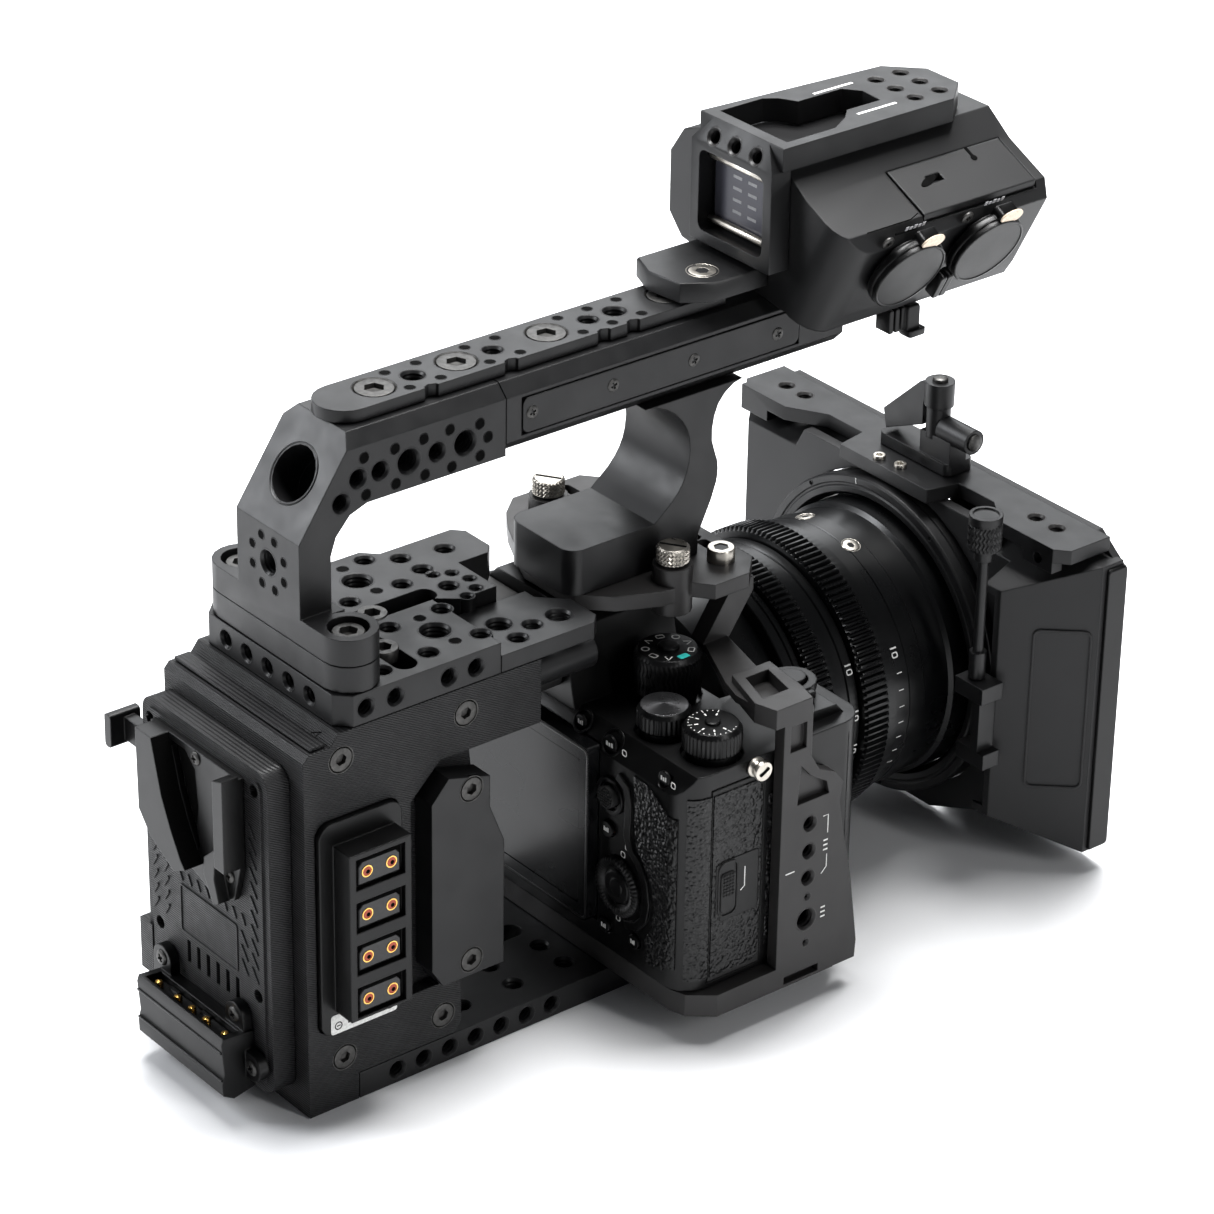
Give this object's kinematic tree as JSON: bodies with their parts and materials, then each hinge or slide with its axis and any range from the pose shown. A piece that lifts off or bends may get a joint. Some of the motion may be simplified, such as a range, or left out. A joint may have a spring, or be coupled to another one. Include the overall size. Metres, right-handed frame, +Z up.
{
  "type": "cinema camera rig",
  "caption": "Caged cinema camera with a top handle, rear power housing and wedge battery plate, geared lens, matte box and an audio input unit on the handle.",
  "frame": {"origin": "centre of the tripod face under the base plate, below the camera body", "axes": "+Z up, +Y the way the lens looks, +X the operator's right-hand side"},
  "size_m": [0.1555, 0.2795, 0.235],
  "materials": {
    "anodised_metal": "satin black anodised aluminium",
    "printed_polymer": "dark grey printed polymer with fine layer lines",
    "camera_shell": "fine textured black shell",
    "rubber": "soft black rubber",
    "nickel_steel": "turned nickel-plated steel",
    "gold_contact": "gold-plated contacts",
    "coated_glass": "dark coated glass",
    "cap_polymer": "smooth black moulded cap"
  },
  "bodies": {
    "rig": {"base_plate": "anodised_metal", "rear_housing": "printed_polymer", "rear_cover_trim": "printed_polymer", "battery_plate": "printed_polymer", "battery_receiver": "camera_shell", "contact_block": "camera_shell", "contact_pin_strip": "gold_contact", "power_outlet_block": "camera_shell", "side_cover_plate": "anodised_metal", "top_plate_rear": "anodised_metal", "top_plate_front": "anodised_metal", "handle_base_lower": "anodised_metal", "handle_rear_block": "anodised_metal", "handle_grip": "anodised_metal", "handle_side_panel_right": "anodised_metal", "handle_side_panel_left": "anodised_metal", "handle_top_rail": "anodised_metal", "handle_front_leg": "anodised_metal", "cage_top_plate": "anodised_metal", "camera_cage": "anodised_metal", "camera_body": "camera_shell", "rear_monitor": "coated_glass", "eyecup": "rubber", "support_rod": "anodised_metal", "strap_lug": "nickel_steel", "lens_barrel": "anodised_metal", "lens_glass": "coated_glass", "adapter_ring": "anodised_metal", "matte_box_frame": "printed_polymer", "matte_top_bracket": "anodised_metal", "top_clamp": "anodised_metal", "lock_bracket": "anodised_metal", "audio_body": "camera_shell", "audio_connector_rear": "cap_polymer", "audio_connector_front": "cap_polymer", "audio_cage": "anodised_metal", "audio_bracket": "anodised_metal", "audio_screen": "coated_glass"},
    "battery_release_lever": {"battery_release_lever": "camera_shell"},
    "thumb_screw_right": {"thumb_screw_right": "nickel_steel"},
    "thumb_screw_left": {"thumb_screw_left": "nickel_steel"},
    "mode_dial": {"mode_dial": "camera_shell"},
    "rear_dial": {"rear_dial": "anodised_metal"},
    "exposure_dial": {"exposure_dial": "camera_shell"},
    "control_wheel": {"control_wheel": "camera_shell"},
    "c1_button": {"c1_button": "camera_shell"},
    "af_button": {"af_button": "camera_shell"},
    "lock_button": {"lock_button": "camera_shell"},
    "function_button": {"function_button": "camera_shell"},
    "playback_button": {"playback_button": "camera_shell"},
    "delete_button": {"delete_button": "camera_shell"},
    "joystick": {"joystick": "rubber"},
    "shutter_button": {"shutter_button": "nickel_steel"},
    "power_ring": {"power_ring": "camera_shell"},
    "card_door": {"card_door": "rubber"},
    "focus_ring": {"focus_ring": "anodised_metal"},
    "iris_ring": {"iris_ring": "anodised_metal"},
    "cam_lever": {"cam_lever": "anodised_metal"},
    "side_lock_screw": {"side_lock_screw": "anodised_metal"},
    "audio_cover": {"audio_cover": "camera_shell"}
  },
  "joints": [
    {"name": "battery_release_slide", "type": "slide", "parent": "rig", "child": "battery_release_lever", "axis": [1, 0, 0], "range_m": [0, 0.0025], "stiffness_N_per_m": 600, "springref_m": -0.001},
    {"name": "thumb_screw_right_turn", "type": "hinge", "parent": "rig", "child": "thumb_screw_right", "pos_m": [0.0209, 0.006, 0.125], "axis": [0, 0, 1], "continuous": true},
    {"name": "thumb_screw_left_turn", "type": "hinge", "parent": "rig", "child": "thumb_screw_left", "pos_m": [-0.0321, 0.0044, 0.125], "axis": [0, 0, 1], "continuous": true},
    {"name": "mode_dial_turn", "type": "hinge", "parent": "rig", "child": "mode_dial", "pos_m": [0.023, 0.0034, 0.09], "axis": [0, 0, 1], "continuous": true},
    {"name": "rear_dial_turn", "type": "hinge", "parent": "rig", "child": "rear_dial", "pos_m": [0.0382, -0.0102, 0.087], "axis": [0, 0, 1], "continuous": true},
    {"name": "exposure_dial_turn", "type": "hinge", "parent": "rig", "child": "exposure_dial", "pos_m": [0.0552, -0.0074, 0.088], "axis": [0, 0, 1], "range_deg": [-120, 120]},
    {"name": "control_wheel_turn", "type": "hinge", "parent": "rig", "child": "control_wheel", "pos_m": [0.0376, -0.025, 0.0382], "axis": [0, 1, 0], "continuous": true},
    {"name": "c1_button_press", "type": "slide", "parent": "rig", "child": "c1_button", "axis": [0, 1, 0], "range_m": [0, 0.0006], "stiffness_N_per_m": 400},
    {"name": "af_button_press", "type": "slide", "parent": "rig", "child": "af_button", "axis": [0, 1, 0], "range_m": [0, 0.0006], "stiffness_N_per_m": 400},
    {"name": "lock_button_press", "type": "slide", "parent": "rig", "child": "lock_button", "axis": [0, 1, 0], "range_m": [0, 0.0006], "stiffness_N_per_m": 400},
    {"name": "function_button_press", "type": "slide", "parent": "rig", "child": "function_button", "axis": [0, 1, 0], "range_m": [0, 0.0006], "stiffness_N_per_m": 400},
    {"name": "playback_button_press", "type": "slide", "parent": "rig", "child": "playback_button", "axis": [0, 1, 0], "range_m": [0, 0.0006], "stiffness_N_per_m": 400},
    {"name": "delete_button_press", "type": "slide", "parent": "rig", "child": "delete_button", "axis": [0, 1, 0], "range_m": [0, 0.0006], "stiffness_N_per_m": 400},
    {"name": "joystick_press", "type": "slide", "parent": "rig", "child": "joystick", "axis": [0, 1, 0], "range_m": [0, 0.0006], "stiffness_N_per_m": 400},
    {"name": "shutter_button_press", "type": "slide", "parent": "rig", "child": "shutter_button", "axis": [0, 0, -1], "range_m": [0, 0.0006], "stiffness_N_per_m": 500},
    {"name": "power_ring_turn", "type": "hinge", "parent": "rig", "child": "power_ring", "pos_m": [0.046, 0.0286, 0.088], "axis": [0, 0, 1], "range_deg": [0, 25]},
    {"name": "card_door_swing", "type": "hinge", "parent": "rig", "child": "card_door", "pos_m": [0.0652, 0.003, 0.048], "axis": [0, 0, 1], "range_deg": [0, 75]},
    {"name": "focus_ring_turn", "type": "hinge", "parent": "rig", "child": "focus_ring", "pos_m": [-0.01, 0.075, 0.053], "axis": [0, 1, 0], "range_deg": [-135, 135]},
    {"name": "iris_ring_turn", "type": "hinge", "parent": "rig", "child": "iris_ring", "pos_m": [-0.01, 0.057, 0.053], "axis": [0, 1, 0], "range_deg": [-45, 45]},
    {"name": "cam_lever_turn", "type": "hinge", "parent": "rig", "child": "cam_lever", "pos_m": [-0.002, 0.1245, 0.13], "axis": [0, 0, 1], "range_deg": [0, 80]},
    {"name": "side_lock_screw_turn", "type": "hinge", "parent": "rig", "child": "side_lock_screw", "pos_m": [0.0436, 0.1016, 0.11], "axis": [0, 0, 1], "continuous": true},
    {"name": "audio_cover_lift", "type": "hinge", "parent": "rig", "child": "audio_cover", "pos_m": [0.0263, 0.093, 0.2217], "axis": [0, -1, 0], "range_deg": [0, 50]}
  ]
}
